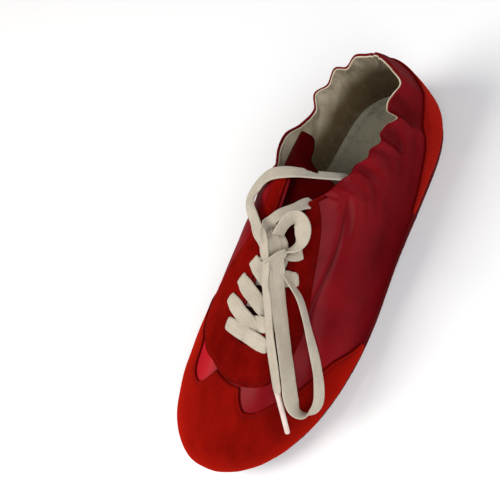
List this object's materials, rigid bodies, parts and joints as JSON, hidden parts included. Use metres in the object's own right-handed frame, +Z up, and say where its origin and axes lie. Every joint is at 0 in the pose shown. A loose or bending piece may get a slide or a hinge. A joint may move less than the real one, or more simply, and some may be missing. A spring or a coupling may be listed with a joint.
{
  "type": "sneaker",
  "caption": "Low lace-up left sneaker with toe guard, eyestay, heel counter, tongue, insole, thin rubber sole and a loosely tied flat lace.",
  "frame": {"origin": "floor level, under the middle of the shoe's length and width", "axes": "+Z up, -Y towards the toe, +X towards the lateral side of this left shoe"},
  "size_m": [0.1028, 0.2651, 0.0816],
  "materials": {
    "rubber": "matte dark red rubber",
    "insole_cover": "cream lining leather, soft sheen",
    "smooth_leather": "soft crimson leather with a low sheen",
    "suede": "tomato red suede, napped and matte",
    "tongue_leather": "dark red leather, matte",
    "lace": "cream flat woven cotton with lengthwise ribs",
    "aglet": "cream wrapped lace tip"
  },
  "bodies": {
    "root": {"outsole": "rubber", "insole": "insole_cover", "upper": "smooth_leather", "toe_guard": "suede", "eyestay": "suede", "heel_counter": "suede", "tongue": "tongue_leather", "lace_bars": "lace", "lace_knot": "lace", "strand_medial": "lace", "strand_lateral": "lace", "bow_loop": "lace", "curl": "lace", "lace_end": "lace", "aglet": "aglet"}
  },
  "joints": []
}
